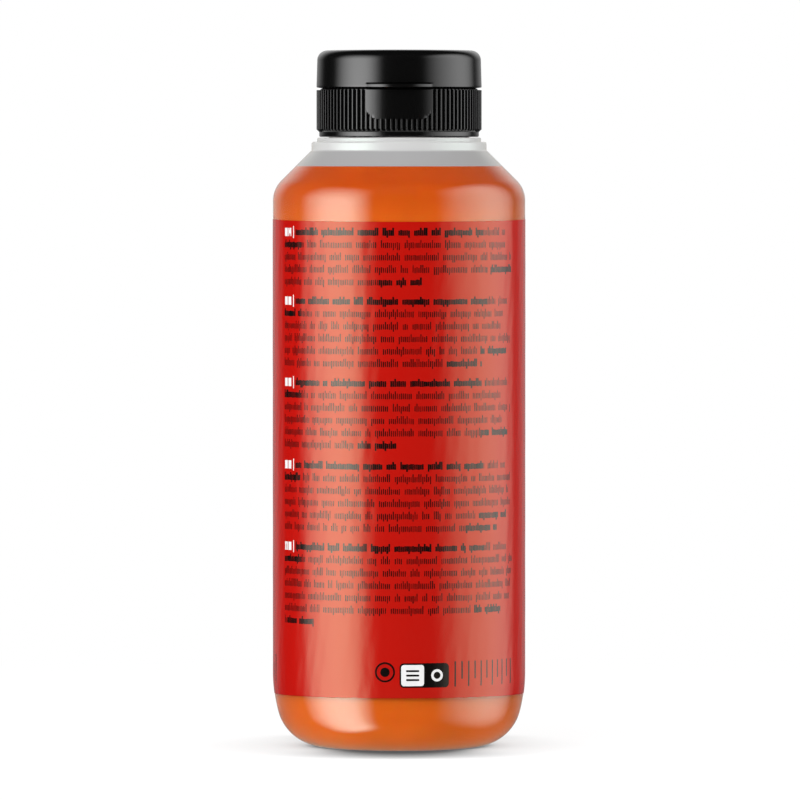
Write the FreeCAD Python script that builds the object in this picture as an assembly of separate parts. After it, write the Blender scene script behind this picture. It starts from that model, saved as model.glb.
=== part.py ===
# Squeeze bottle of sauce: clear bottle, sauce up to its fill level, printed sleeve, and a ribbed
# screw-on closure with a hinged lid. Millimetres. The bottle stands on z = 0, the Z axis is its
# middle line, the thumb side of the lid faces -Y and the lid's hinge is at +Y.
import FreeCAD, Part
import math
import os

# ---- bottle: foot, wall and shoulder ----
BODY_RADIUS = 27.1
WALL = 0.6
HEEL_ROUND = 33.6           # long arc that starts to turn the wall in
HEEL_TURN = 14.8            # degrees that the long arc turns
FOOT_ROUND = 9.9            # short arc from there to the standing ring
FOOT_FLAT = 0.8             # width of the standing ring
PUSH_UP_ROUND = 34.0        # dome under the base
PUSH_UP_EDGE = 2.5          # rounding from the dome to the standing ring
SHOULDER_HEIGHT = 128.1     # top of the shoulder's cone
SHOULDER_SLOPE = 45.0       # degrees from level
SHOULDER_ROUND = 6.0

# ---- bottle: neck ----
BORE_RADIUS = 13.5
FINISH_WALL = 1.55          # plain cylinder inside the closure
FINISH_EDGE = 0.4
BEAD_REACH = 3.75           # from the finish out to the lower, wider bead
BEAD_HEIGHT = 1.8
BEAD_EDGE = 0.4
RING_REACH = 2.55           # from the finish out to the ring on top of the bead
RING_HEIGHT = 0.9
RING_EDGE = 0.3
THROAT_WALL = 2.0           # behind the bead, where the inside turns in to the bore
THROAT_RISE = 0.75

# ---- contents and sleeve ----
FILL_DROP = 3.2             # from the top of the shoulder's cone down to the sauce
LABEL_THICKNESS = 0.1
LABEL_BOTTOM = 11.4
LABEL_DROP = 4.0            # from the start of the shoulder down to the sleeve

# ---- closure base ----
SKIRT_GAP = 0.4             # between the neck ring and the skirt
THREAD_ROOM = 1.29          # between the finish and the skirt
SKIRT_WALL = 0.95           # behind the grooves
BASE_HEIGHT = 10.1
COLLAR_STEP = 0.59          # from the rib crests in to the plain collar
COLLAR_HEIGHT = 0.8
COLLAR_EDGE = 0.3
BASE_EDGE = 0.25
RIB_COUNT = 100
GROOVE_WIDTH = 0.56
GROOVE_DEPTH = 0.45
PAD_WIDTH = 14.2            # smooth thumb pad between the ribs
PAD_HEIGHT = 6.6
PAD_CORNER = 2.6
DECK_THICKNESS = 1.2
DECK_RISE = 0.1             # deck's top above the skirt's top edge
DECK_FILLET = 0.4
CATCH_STEP = 1.24           # from the rib crests in to the rim that the lid closes over
CATCH_HEIGHT = 1.3
CATCH_WIDTH = 1.0
CATCH_EDGE = 0.3
SPOUT_RADIUS = 4.3
SPOUT_FLARE = 0.5           # how much wider the spout is at its foot
SPOUT_HEIGHT = 3.6
SPOUT_WALL = 1.2
SPOUT_FILLET = 0.6
SPOUT_EDGE = 0.4
ORIFICE_EDGE = 0.3

# ---- lid ----
SEAM_GAP = 0.4              # between the base and the lid, all round
LID_HEIGHT = 7.8
LID_DRAFT = 0.22            # the wall leans in by this much
LID_CORNER = 2.1
LID_EDGE = 0.35
LID_CROWN = 0.15
LID_CLEARANCE = 0.15        # between the rim and the lid's wall
LID_TOP_WALL = 1.2
LEDGE_ROUND = 10.3          # plan radius of the thumb ledge
LEDGE_REACH = 1.3
LEDGE_THICKNESS = 0.8
LEDGE_EDGE = 0.3
PLUG_CLEARANCE = 0.15
PLUG_TAPER = 0.25
PLUG_DEPTH = 1.5
PLUG_WALL = 0.85
PLUG_EDGE = 0.2

# ---- living hinge ----
HINGE_WIDTH = 9.0
HINGE_REACH = 0.5           # from the rib crests out to the fold line
HINGE_ROOT = 0.15           # how far a boss runs into the wall at its ends
HINGE_BOSS = 1.9            # height of the boss on either side of the seam
WEB_THICKNESS = 0.35

BEYOND = 1.0                # how far cutting tools run past what they cut
MIDDLE = FreeCAD.Vector(0, 0, 0)
UP = FreeCAD.Vector(0, 0, 1)

# ---- heights and radii that follow ----
slope = math.radians(SHOULDER_SLOPE)
cone_normal = math.pi / 2 - slope
heel_turn = math.radians(HEEL_TURN)
finish_radius = BORE_RADIUS + FINISH_WALL
bead_radius = finish_radius + BEAD_REACH
ring_radius = finish_radius + RING_REACH
shoulder_arc_radius = BODY_RADIUS - SHOULDER_ROUND * (1 - math.cos(cone_normal))
cone_rise = (shoulder_arc_radius - bead_radius) * math.tan(slope)
shoulder_start = SHOULDER_HEIGHT - cone_rise - SHOULDER_ROUND * math.sin(cone_normal)
bead_top = SHOULDER_HEIGHT + BEAD_HEIGHT
ring_top = bead_top + RING_HEIGHT
base_bottom = ring_top + SKIRT_GAP
base_top = base_bottom + BASE_HEIGHT
deck_top = base_top + DECK_RISE
finish_top = deck_top - DECK_THICKNESS
skirt_inner_radius = finish_radius + THREAD_ROOM
closure_radius = skirt_inner_radius + SKIRT_WALL + GROOVE_DEPTH
catch_radius = closure_radius - CATCH_STEP
catch_top = base_top + CATCH_HEIGHT
orifice_radius = SPOUT_RADIUS - SPOUT_WALL
spout_top = deck_top + SPOUT_HEIGHT
lid_bottom = base_top + SEAM_GAP
lid_top = lid_bottom + LID_HEIGHT
lid_inner_radius = catch_radius + LID_CLEARANCE
lid_ceiling = lid_top - LID_TOP_WALL
fold_y = closure_radius + HINGE_REACH
fold_z = base_top + SEAM_GAP / 2
sauce_level = SHOULDER_HEIGHT - FILL_DROP
label_top = shoulder_start - LABEL_DROP


def point(radius, height):
    """A point of a half section, in the XZ plane."""
    return FreeCAD.Vector(radius, 0, height)


def line(start, end):
    return Part.makeLine(start, end)


def arc_about(centre, radius, first, last):
    """Arc in the half section, between two angles in radians, with 0 pointing outwards."""
    def at(angle):
        return centre + point(radius * math.cos(angle), radius * math.sin(angle))
    return Part.Arc(at(first), at((first + last) / 2), at(last)).toShape()


def rounded_edges(corners, closed=True):
    """Edges through corners (radius, height, rounding), with a tangent arc at each rounded one."""
    arrivals, arcs, departures = [], [], []
    for number, (radius, height, rounding) in enumerate(corners):
        corner = point(radius, height)
        arrival, arc, departure = corner, None, corner
        if rounding:
            before = point(*corners[number - 1][:2]) - corner
            after = point(*corners[(number + 1) % len(corners)][:2]) - corner
            before.normalize()
            after.normalize()
            half = before.getAngle(after) / 2
            inwards = (before + after).normalize()
            arrival = corner + before * (rounding / math.tan(half))
            departure = corner + after * (rounding / math.tan(half))
            middle = corner + inwards * (rounding / math.sin(half) - rounding)
            arc = Part.Arc(arrival, middle, departure).toShape()
        arrivals.append(arrival)
        arcs.append(arc)
        departures.append(departure)
    edges = []
    for number in range(len(corners)):
        if arcs[number]:
            edges.append(arcs[number])
        following = number + 1
        if following == len(corners):
            if not closed:
                break
            following = 0
        if departures[number].distanceToPoint(arrivals[following]) > 1e-6:
            edges.append(line(departures[number], arrivals[following]))
    return edges


def turned(edges):
    """Solid of revolution about the Z axis of a closed half section."""
    face = Part.Face(Part.Wire(edges))
    return face.revolve(MIDDLE, UP, 360)


def cylinder(radius, bottom, top):
    """Upright cylinder about the Z axis."""
    return Part.makeCylinder(radius, top - bottom, FreeCAD.Vector(0, 0, bottom))


def block(width, y_range, z_range):
    """Box centred on x = 0."""
    corner = FreeCAD.Vector(-width / 2, y_range[0], z_range[0])
    return Part.makeBox(width, y_range[1] - y_range[0], z_range[1] - z_range[0], corner)


def body_edges(inset, end_radius):
    """Half section from the middle of the base up to end_radius on the cone, moved in by inset.

    Every arc keeps its centre, so a wall between two of these sections has one thickness.
    """
    foot_radius = (BODY_RADIUS - HEEL_ROUND * (1 - math.cos(heel_turn))
                   - FOOT_ROUND * math.cos(heel_turn))
    stand_radius = foot_radius - FOOT_FLAT
    edge_centre = point(stand_radius, PUSH_UP_EDGE)
    reach = PUSH_UP_ROUND + PUSH_UP_EDGE
    dome_centre = point(0, PUSH_UP_EDGE - math.sqrt(reach ** 2 - stand_radius ** 2))
    dome_end = math.acos(stand_radius / reach)
    foot_centre = point(foot_radius, FOOT_ROUND)
    excess = HEEL_ROUND - FOOT_ROUND
    heel_centre = foot_centre + point(-excess * math.cos(heel_turn),
                                      excess * math.sin(heel_turn))
    shoulder_centre = point(BODY_RADIUS - SHOULDER_ROUND, shoulder_start)
    shoulder_reach = SHOULDER_ROUND - inset
    cone_start = shoulder_centre + point(shoulder_reach * math.cos(cone_normal),
                                         shoulder_reach * math.sin(cone_normal))
    cone_end_height = cone_start.z + (cone_start.x - end_radius) * math.tan(slope)
    return [
        arc_about(dome_centre, PUSH_UP_ROUND + inset, math.pi / 2, dome_end),
        arc_about(edge_centre, PUSH_UP_EDGE - inset, dome_end - math.pi, -math.pi / 2),
        line(point(stand_radius, inset), point(foot_radius, inset)),
        arc_about(foot_centre, FOOT_ROUND - inset, -math.pi / 2, -heel_turn),
        arc_about(heel_centre, HEEL_ROUND - inset, -heel_turn, 0),
        line(point(BODY_RADIUS - inset, heel_centre.z), point(BODY_RADIUS - inset, shoulder_start)),
        arc_about(shoulder_centre, shoulder_reach, 0, cone_normal),
        line(cone_start, point(end_radius, cone_end_height)),
    ]


def closed_on_axis(edges, top):
    """The half section's edges, closed along the Z axis below the height top."""
    first = edges[0].Vertexes[0].Point
    last = edges[-1].Vertexes[-1].Point
    return edges + [line(last, point(0, top)), line(point(0, top), first)]


def outer_form():
    """The bottle as a full solid, with its neck rings and the plain cylinder inside the closure."""
    neck = rounded_edges([
        (bead_radius, SHOULDER_HEIGHT, 0),
        (bead_radius, bead_top, BEAD_EDGE),
        (ring_radius, bead_top, 0),
        (ring_radius, ring_top, RING_EDGE),
        (finish_radius, ring_top, 0),
        (finish_radius, finish_top, FINISH_EDGE),
        (BORE_RADIUS, finish_top, 0),
    ], closed=False)
    return turned(closed_on_axis(body_edges(0, bead_radius) + neck, finish_top))


def inner_form(top):
    """The space inside the bottle, open through the bore up to the height top."""
    edges = body_edges(WALL, bead_radius - THROAT_WALL)
    throat = edges[-1].Vertexes[-1].Point
    bore_start = point(BORE_RADIUS, throat.z + THROAT_RISE)
    edges.append(line(throat, bore_start))
    edges.append(line(bore_start, point(BORE_RADIUS, top)))
    return turned(closed_on_axis(edges, top))


def skin_form(thickness):
    """The bottle below its neck, grown by thickness."""
    edges = body_edges(-thickness, bead_radius)
    return turned(closed_on_axis(edges, edges[-1].Vertexes[-1].Point.z))


def make_bottle():
    return outer_form().cut(inner_form(finish_top + BEYOND))


def make_sauce():
    return inner_form(finish_top).common(cylinder(BODY_RADIUS, 0, sauce_level))


def make_label():
    """Sleeve that follows the wall and the start of the heel."""
    skin = skin_form(LABEL_THICKNESS).cut(skin_form(0))
    return skin.common(cylinder(BODY_RADIUS + BEYOND, LABEL_BOTTOM, label_top))


def closure_blank():
    """Closure base before its grooves: skirt, deck, the rim that the lid closes over, and spout."""
    collar_radius = closure_radius - COLLAR_STEP
    collar_top = base_bottom + COLLAR_HEIGHT
    rim_inner = catch_radius - CATCH_WIDTH
    return turned(rounded_edges([
        (collar_radius, base_bottom, COLLAR_EDGE),
        (collar_radius, collar_top, 0),
        (closure_radius, collar_top + COLLAR_STEP, 0),
        (closure_radius, base_top, BASE_EDGE),
        (catch_radius, base_top, 0),
        (catch_radius, catch_top, CATCH_EDGE),
        (rim_inner, catch_top, CATCH_EDGE),
        (rim_inner, deck_top, DECK_FILLET),
        (SPOUT_RADIUS + SPOUT_FLARE, deck_top, SPOUT_FILLET),
        (SPOUT_RADIUS, spout_top, SPOUT_EDGE),
        (orifice_radius, spout_top, ORIFICE_EDGE),
        (orifice_radius, finish_top, 0),
        (skirt_inner_radius, finish_top, 0),
        (skirt_inner_radius, base_bottom, 0),
    ]))


def slot_prism(width, bottom, top, rounding, y_range):
    """Upright bar along Y whose two lower corners are rounded."""
    half = width / 2
    corners = [(-half, top, 0), (-half, bottom, rounding), (half, bottom, rounding), (half, top, 0)]
    face = Part.Face(Part.Wire(rounded_edges(corners)))
    face.translate(FreeCAD.Vector(0, y_range[0], 0))
    return face.extrude(FreeCAD.Vector(0, y_range[1] - y_range[0], 0))


def groove_cutters():
    """One round-ended cutter for each gap between two ribs, all round the skirt."""
    floor_radius = closure_radius - GROOVE_DEPTH
    outside = -(closure_radius + BEYOND)
    rib_bottom = base_bottom + COLLAR_HEIGHT + COLLAR_STEP / 2
    cutter = slot_prism(GROOVE_WIDTH, rib_bottom, base_top + BEYOND,
                        GROOVE_WIDTH / 2, (outside, -floor_radius))
    cutters = []
    for number in range(RIB_COUNT):
        turned_cutter = cutter.copy()
        turned_cutter.rotate(MIDDLE, UP, number * 360 / RIB_COUNT)
        cutters.append(turned_cutter)
    return Part.makeCompound(cutters)


def smooth_areas():
    """Where the skirt has no grooves: the thumb pad in front and the hinge's seat at the back."""
    outside = closure_radius + 2 * BEYOND
    pad_bottom = base_top - PAD_HEIGHT
    pad = slot_prism(PAD_WIDTH, pad_bottom, base_top + 2 * BEYOND, PAD_CORNER, (-outside, 0))
    seat_width = HINGE_WIDTH + 2 * HINGE_BOSS
    seat = slot_prism(seat_width, pad_bottom, base_top + 2 * BEYOND, PAD_CORNER, (0, outside))
    return [pad, seat]


def hinge_boss(level, direction):
    """Bevelled block from the wall out to the fold line, going up (1) or down (-1) from level."""
    root = math.sqrt(closure_radius ** 2 - (HINGE_WIDTH / 2) ** 2) - HINGE_ROOT
    far = level + direction * HINGE_BOSS
    outline = Part.makePolygon([
        FreeCAD.Vector(-HINGE_WIDTH / 2, root, level),
        FreeCAD.Vector(-HINGE_WIDTH / 2, fold_y, level),
        FreeCAD.Vector(-HINGE_WIDTH / 2, fold_y, level + direction * WEB_THICKNESS),
        FreeCAD.Vector(-HINGE_WIDTH / 2, root, far),
        FreeCAD.Vector(-HINGE_WIDTH / 2, root, level),
    ])
    return Part.Face(outline).extrude(FreeCAD.Vector(HINGE_WIDTH, 0, 0))


def make_closure_base():
    grooves = groove_cutters().cut(smooth_areas())
    ribbed = closure_blank().cut(grooves.Solids)
    return ribbed.fuse(hinge_boss(base_top, -1)).removeSplitter()


def lid_shell():
    """Outer wall, corner and ceiling, with a slight crown on top."""
    corner_radius = closure_radius - LID_DRAFT
    lid_wall = closure_radius - lid_inner_radius
    shell = turned(rounded_edges([
        (closure_radius, lid_bottom, LID_EDGE),
        (corner_radius, lid_top, LID_CORNER),
        (0, lid_top, 0),
        (0, lid_ceiling, 0),
        (lid_inner_radius, lid_ceiling, LID_CORNER - lid_wall),
        (lid_inner_radius, lid_bottom, 0),
    ]))
    flat_radius = corner_radius - LID_CORNER
    crown_round = (flat_radius ** 2 + LID_CROWN ** 2) / (2 * LID_CROWN)
    crown_centre = point(0, lid_top + LID_CROWN - crown_round)
    rim_angle = math.acos(flat_radius / crown_round)
    crown = turned([
        arc_about(crown_centre, crown_round, rim_angle, math.pi / 2),
        line(point(0, lid_top + LID_CROWN), point(0, lid_top)),
        line(point(0, lid_top), point(flat_radius, lid_top)),
    ])
    return shell.fuse(crown)


def thumb_ledge():
    """Crescent at the foot of the lid: a wider disc set forwards, less the lid's inside."""
    centre = FreeCAD.Vector(0, LEDGE_ROUND - closure_radius - LEDGE_REACH, lid_bottom)
    disc = Part.makeCylinder(LEDGE_ROUND, LEDGE_THICKNESS, centre)
    rims = [edge for edge in disc.Edges if edge.Closed and isinstance(edge.Curve, Part.Circle)]
    disc = disc.makeFillet(LEDGE_EDGE, rims)
    return disc.cut(cylinder(closure_radius - LID_EDGE, lid_bottom - BEYOND, lid_top))


def seal_plug():
    """Tapered tube under the ceiling that closes the spout's orifice."""
    plug_radius = orifice_radius - PLUG_CLEARANCE
    tip_radius = plug_radius - PLUG_TAPER
    bore_radius = plug_radius - PLUG_WALL
    tip = spout_top - PLUG_DEPTH
    return turned(rounded_edges([
        (plug_radius, lid_ceiling, 0),
        (plug_radius, spout_top, 0),
        (tip_radius, tip, PLUG_EDGE),
        (bore_radius, tip, PLUG_EDGE),
        (bore_radius, lid_ceiling, 0),
    ]))


def make_lid():
    shell = lid_shell().fuse([thumb_ledge(), seal_plug(), hinge_boss(lid_bottom, 1)])
    return shell.removeSplitter()


def make_hinge_web():
    """Thin web round the fold line, which joins the two bosses. It straightens as the lid opens."""
    inner = SEAM_GAP / 2
    start = FreeCAD.Vector(-HINGE_WIDTH / 2, fold_y, fold_z)
    along = FreeCAD.Vector(1, 0, 0)
    outside = Part.makeCylinder(inner + WEB_THICKNESS, HINGE_WIDTH, start, along)
    inside = Part.makeCylinder(inner, HINGE_WIDTH, start, along)
    behind = block(HINGE_WIDTH, (fold_y, fold_y + BEYOND), (fold_z - BEYOND, fold_z + BEYOND))
    return outside.cut(inside).common(behind)


NODES = {
    "bottle": make_bottle,
    "sauce": make_sauce,
    "label": make_label,
    "closure_base": make_closure_base,
    "lid": make_lid,
    "hinge_web": make_hinge_web,
}

os.makedirs("parts", exist_ok=True)
for name, make in NODES.items():
    shape = make()
    print(f"{name}: {len(shape.Solids)} solid, {shape.Volume / 1000:.2f} ml, valid {shape.isValid()}")
    shape.exportStep(f"parts/{name}.step")
print(f"fold line at y = {fold_y:.3f}, z = {fold_z:.3f}; whole height {lid_top + LID_CROWN:.2f}")
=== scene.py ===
# %% [markdown]
# # A squeeze bottle of orange sauce
#
# The real thing is a clear plastic bottle, filled with sauce up to its shoulder. It has a red
# printed sleeve shrunk round its body and a black flip-top closure pressed over its neck. This file
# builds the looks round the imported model: the model says how large each piece is and how the lid
# swings, and the cells below say what each surface looks like.
#
# The first cell loads that model. Every object is in metres, with the bottle standing on z = 0.

# %% Load the frame
import math

import bpy
import numpy as np
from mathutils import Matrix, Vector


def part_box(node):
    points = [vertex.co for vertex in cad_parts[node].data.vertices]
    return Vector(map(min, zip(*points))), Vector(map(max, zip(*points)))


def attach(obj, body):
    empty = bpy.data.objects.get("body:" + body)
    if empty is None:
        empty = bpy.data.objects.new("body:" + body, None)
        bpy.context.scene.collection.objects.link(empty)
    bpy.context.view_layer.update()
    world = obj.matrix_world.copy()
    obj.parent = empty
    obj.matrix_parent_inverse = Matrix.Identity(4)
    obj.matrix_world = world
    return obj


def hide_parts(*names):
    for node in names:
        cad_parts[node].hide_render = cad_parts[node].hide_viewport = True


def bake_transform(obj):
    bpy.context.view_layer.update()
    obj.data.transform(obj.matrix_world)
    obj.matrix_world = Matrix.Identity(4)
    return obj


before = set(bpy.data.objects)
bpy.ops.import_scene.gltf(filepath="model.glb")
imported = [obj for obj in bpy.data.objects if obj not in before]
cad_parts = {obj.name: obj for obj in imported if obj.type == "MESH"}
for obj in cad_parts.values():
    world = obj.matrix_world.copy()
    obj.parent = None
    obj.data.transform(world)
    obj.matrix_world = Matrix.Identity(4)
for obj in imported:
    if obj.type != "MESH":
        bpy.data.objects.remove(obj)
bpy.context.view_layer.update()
MM = 0.001

# %% [markdown]
# ## Reading the sizes
#
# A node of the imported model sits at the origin, so the corners of its box are real sizes. The radii
# and levels that the new surfaces share come from those boxes. Only what a box can't show, such as
# a corner's rounding, is written out.

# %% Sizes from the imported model
bottle_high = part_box("bottle")[1] / MM
base_low, base_high = (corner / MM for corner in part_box("closure_base"))
lid_low, lid_high = (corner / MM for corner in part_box("lid"))
label_low, label_high = (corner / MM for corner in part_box("label"))
sauce_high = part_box("sauce")[1] / MM

PARTING, MENISCUS = 0.4, 0.4
BODY_R = bottle_high.x
FINISH_TOP = bottle_high.z
SAUCE_TOP = sauce_high.z
LABEL_R = label_high.x
LABEL_BOTTOM, LABEL_TOP = label_low.z, label_high.z
CLOSURE_R = -base_low.y
BASE_BOTTOM, SPOUT_TOP = base_low.z, base_high.z
LID_BOTTOM = lid_low.z
CROWN = 0.15
LID_TOP = lid_high.z - CROWN
BASE_TOP = LID_BOTTOM - PARTING
FOLD_Y = base_high.y
FOLD_Z = (BASE_TOP + LID_BOTTOM) / 2
SAUCE_LEVEL = SAUCE_TOP - MENISCUS
print(f"body radius {BODY_R:.2f}, closure radius {CLOSURE_R:.2f}, sauce up to {SAUCE_TOP:.2f} mm")

# %% [markdown]
# ## Sections
#
# Nearly everything here is turned about the middle line, so its shape is one half section: a list
# of points (radius, height). A section is easiest to think of as corners with roundings, as on a
# drawing. The helper below works all the roundings out at once as arrays.

# %% A section from rounded corners
def rounded(corners, steps=9):
    """Points (radius, height) along straight sides, with a circle of radius q in each corner.

    A circle that touches both sides has its centre on the line that halves the corner, q / sin(h)
    from the corner, where h is half the angle between the sides. It meets them q / tan(h) away.
    """
    corners = np.array(corners, float)
    here, q = corners[:, :2], corners[:, 2:]
    before = np.roll(here, 1, axis=0) - here
    after = np.roll(here, -1, axis=0) - here
    before /= np.linalg.norm(before, axis=1, keepdims=True)
    after /= np.linalg.norm(after, axis=1, keepdims=True)
    half = np.arccos(np.clip((before * after).sum(1, keepdims=True), -1, 1)) / 2
    middle = before + after
    middle /= np.maximum(np.linalg.norm(middle, axis=1, keepdims=True), 1e-9)
    centre = here + middle * q / np.sin(half)
    first = here + before * q / np.tan(half) - centre
    last = here + after * q / np.tan(half) - centre
    start = np.arctan2(first[:, 1], first[:, 0])
    turn = np.arctan2(last[:, 1], last[:, 0]) - start
    turn = (turn + math.pi) % (2 * math.pi) - math.pi
    angle = start[:, None] + turn[:, None] * np.linspace(0, 1, steps)
    arcs = centre[:, None] + q[:, None] * np.stack([np.cos(angle), np.sin(angle)], axis=2)
    return tidy(arcs.reshape(-1, 2))


def tidy(points):
    """The same points without those that repeat the one before."""
    step = np.linalg.norm(np.diff(points, axis=0), axis=1)
    return points[np.concatenate([[True], step > 1e-6])]


def arc(centre, radius, start, end, steps=24):
    """Points centre + radius * (cos a, sin a), with the angle a in degrees from start to end."""
    angle = np.radians(np.linspace(start, end, steps))
    return np.array(centre) + radius * np.stack([np.cos(angle), np.sin(angle)], axis=1)


def divided(points, longest):
    """The same section with more points, so that no side is longer than longest."""
    travel = np.concatenate([[0], np.cumsum(np.linalg.norm(np.diff(points, axis=0), axis=1))])
    marks = np.arange(0, travel[-1], longest)
    marks = marks[np.abs(marks[:, None] - travel).min(1) > longest / 4]
    where = np.sort(np.concatenate([travel, marks]))
    return np.stack([np.interp(where, travel, points[:, k]) for k in (0, 1)], axis=1)


print("a rounded square:", rounded([(1, 0, 0.2), (1, 1, 0.2), (0, 1, 0.2), (0, 0, 0.2)]).shape)

# %% [markdown]
# ## From a section to a surface
#
# A turned surface is a grid: each row is one point of the section, each column one angle. Blender
# wants vertices and faces, and both come straight from the grid's indices. Where a row lies on the
# middle line, all its columns are one point, so the strip next to it is a fan of triangles. That
# closes the pole.

# %% A closed mesh from a grid of points
SMOOTH_BELOW = 32


def grid_piece(name, points, ring=False):
    """Mesh through points[row, column] (mm), closed round the columns, and for a ring along the
    rows too."""
    rows, columns = points.shape[:2]
    pole = np.linalg.norm(points[:, :, :2], axis=2).max(1) < 1e-5
    counts = np.where(pole, 1, columns)
    starts = np.concatenate([[0], np.cumsum(counts)[:-1]])
    ids = starts[:, None] + np.where(pole[:, None], 0, np.arange(columns))
    keep = np.ones((rows, columns), bool)
    keep[pole, 1:] = False
    vertices = points[keep] * MM
    strips = np.arange(rows if ring else rows - 1)
    low, high = ids[strips], ids[(strips + 1) % rows]
    quads = np.stack([low, np.roll(low, -1, 1), np.roll(high, -1, 1), high], axis=2)
    opening, closing = pole[strips], pole[(strips + 1) % rows]
    faces = quads[~opening & ~closing].reshape(-1, 4).tolist()
    faces += quads[opening][:, :, [0, 2, 3]].reshape(-1, 3).tolist()
    faces += quads[closing][:, :, [0, 1, 3]].reshape(-1, 3).tolist()
    return mesh_piece(name, vertices, faces)


def mesh_piece(name, vertices, faces):
    """Object at the origin whose mesh has these vertices (metres) and faces, shaded smooth where
    two faces meet at less than SMOOTH_BELOW degrees."""
    mesh = bpy.data.meshes.new(name)
    mesh.from_pydata(vertices, [], faces)
    mesh.validate()
    mesh.shade_smooth()
    mesh.set_sharp_from_angle(angle=math.radians(SMOOTH_BELOW))
    piece = bpy.data.objects.new(name, mesh)
    bpy.context.scene.collection.objects.link(piece)
    print(f"{name}: {len(mesh.vertices)} vertices, {len(mesh.polygons)} faces")
    return piece


def around(columns):
    """Evenly spaced angles from the front, -Y, growing towards +X."""
    return np.arange(columns) * 2 * math.pi / columns


def placed(r, angles, z):
    """Points at radius r, height z and an angle a from the front: x = r sin a, y = -r cos a."""
    return np.stack(np.broadcast_arrays(r * np.sin(angles), -r * np.cos(angles), z), axis=-1)


def turned(section, angles):
    """Grid of a section's points, each turned to every angle."""
    return placed(section[:, :1], angles[None], section[:, 1:])


print("a turned square:", turned(np.eye(2), around(4)).shape)

# %% [markdown]
# ## The bottle
#
# A blow-moulded bottle is one thin skin: a push-up dome under its base, a narrow standing ring, a
# heel that turns up in a short arc and then a long one, a straight body, a round into the 45-degree
# shoulder, and two rings under the closure. The outside and the inside use the same arcs with the
# same centres, so the wall has one thickness. A turned surface is the natural choice, because
# the light that bends through clear plastic shows every facet.

# %% The bottle's section
WALL = 0.6
HEEL_R, HEEL_TURN = 33.6, 14.8
FOOT_R, FOOT_FLAT = 9.9, 0.8
DOME_R, DOME_EDGE = 34.0, 2.5
SHOULDER_R, SHOULDER_TOP = 6.0, 128.1
BORE_R, FINISH_R, BEAD_R, RING_R = 13.5, 15.05, 18.8, 17.6
BEAD_TOP, RING_TOP = 129.9, 130.8
THROAT, THROAT_RISE = 2.0, 0.75
ROW_STEP = 4.0
heel_cos, heel_sin = math.cos(math.radians(HEEL_TURN)), math.sin(math.radians(HEEL_TURN))
foot_x = BODY_R - HEEL_R * (1 - heel_cos) - FOOT_R * heel_cos
stand_x = foot_x - FOOT_FLAT
dome_reach = DOME_R + DOME_EDGE
dome_z = DOME_EDGE - math.sqrt(dome_reach ** 2 - stand_x ** 2)
dome_end = math.degrees(math.acos(stand_x / dome_reach))
heel_gap = HEEL_R - FOOT_R
heel_centre = (foot_x - heel_gap * heel_cos, FOOT_R + heel_gap * heel_sin)
shoulder_x = BODY_R - SHOULDER_R * (1 - math.sqrt(0.5))
shoulder_z = SHOULDER_TOP - (shoulder_x - BEAD_R) - SHOULDER_R * math.sqrt(0.5)


def body_section(inset, end_r):
    """Half section from the middle of the base to radius end_r on the shoulder's cone, moved in by
    inset: each arc keeps its centre and its radius changes."""
    cone_x = BODY_R - SHOULDER_R + (SHOULDER_R - inset) * math.sqrt(0.5)
    cone_z = shoulder_z + (SHOULDER_R - inset) * math.sqrt(0.5)
    return tidy(np.concatenate([
        arc((0, dome_z), DOME_R + inset, 90, dome_end),
        arc((stand_x, DOME_EDGE), DOME_EDGE - inset, dome_end - 180, -90, 10),
        arc((foot_x, FOOT_R), FOOT_R - inset, -90, -HEEL_TURN, 28),
        arc(heel_centre, HEEL_R - inset, -HEEL_TURN, 0, 12),
        arc((BODY_R - SHOULDER_R, shoulder_z), SHOULDER_R - inset, 0, 45, 14),
        [(end_r, cone_z + cone_x - end_r)],
    ]))


neck = rounded([
    (BEAD_R, SHOULDER_TOP, 0), (BEAD_R, BEAD_TOP, 0.4), (RING_R, BEAD_TOP, 0.12),
    (RING_R, RING_TOP, 0.3), (FINISH_R, RING_TOP, 0.1), (FINISH_R, FINISH_TOP, 0.4),
    (BORE_R, FINISH_TOP, 0),
], steps=6)
inside = body_section(WALL, BEAD_R - THROAT)
throat_z = inside[-1, 1]
inner_neck = np.array([(BORE_R, FINISH_TOP), (BORE_R, throat_z + THROAT_RISE)])
shell_section = tidy(np.concatenate([body_section(0, BEAD_R), neck, inner_neck, inside[::-1]]))
bottle_shell = grid_piece("bottle_shell", turned(divided(shell_section, ROW_STEP), around(192)))

# %% [markdown]
# ## The sauce
#
# The sauce fills the bottle up to a level line. If its surface stopped exactly at the inner wall,
# the render would show a thin silver gap of air, so it reaches a little way into the plastic. At
# the top it creeps up the wall by half a millimetre, as a thick sauce does.

# %% The sauce's section
INTO_WALL = 0.12
CREEP = 0.45


def make_sauce():
    """The inner section moved into the wall by INTO_WALL, cut at the level line, with a lip whose
    height falls off as e^(-distance from the wall / CREEP)."""
    side = body_section(WALL - INTO_WALL, BEAD_R - THROAT)
    wall_r = np.interp(SAUCE_LEVEL, *side[-2:, ::-1].T)
    side = divided(side[side[:, 1] < SAUCE_LEVEL - 0.05], ROW_STEP)
    inwards = np.array([0, 0.25, 0.55, 0.95, 1.5, 2.4, 4.0, 8.0, wall_r])
    top = np.stack([wall_r - inwards, SAUCE_LEVEL + CREEP * (np.exp(-inwards / CREEP) - 1)], axis=1)
    return grid_piece("sauce_fill", turned(np.concatenate([side, top]), around(160)))


sauce_fill = make_sauce()

# %% [markdown]
# ## The sleeve
#
# A printed film shrunk round the body. It lies on the plastic, but never quite flat: the film holds
# fine creases that run up and down, most visible where a highlight ends. They are real relief here,
# a few hundredths of a millimetre deep, made from a sum of sine waves whose directions and phases
# come from a seeded random draw. Its cut edges run slightly out of level, as on most sleeves.

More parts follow.
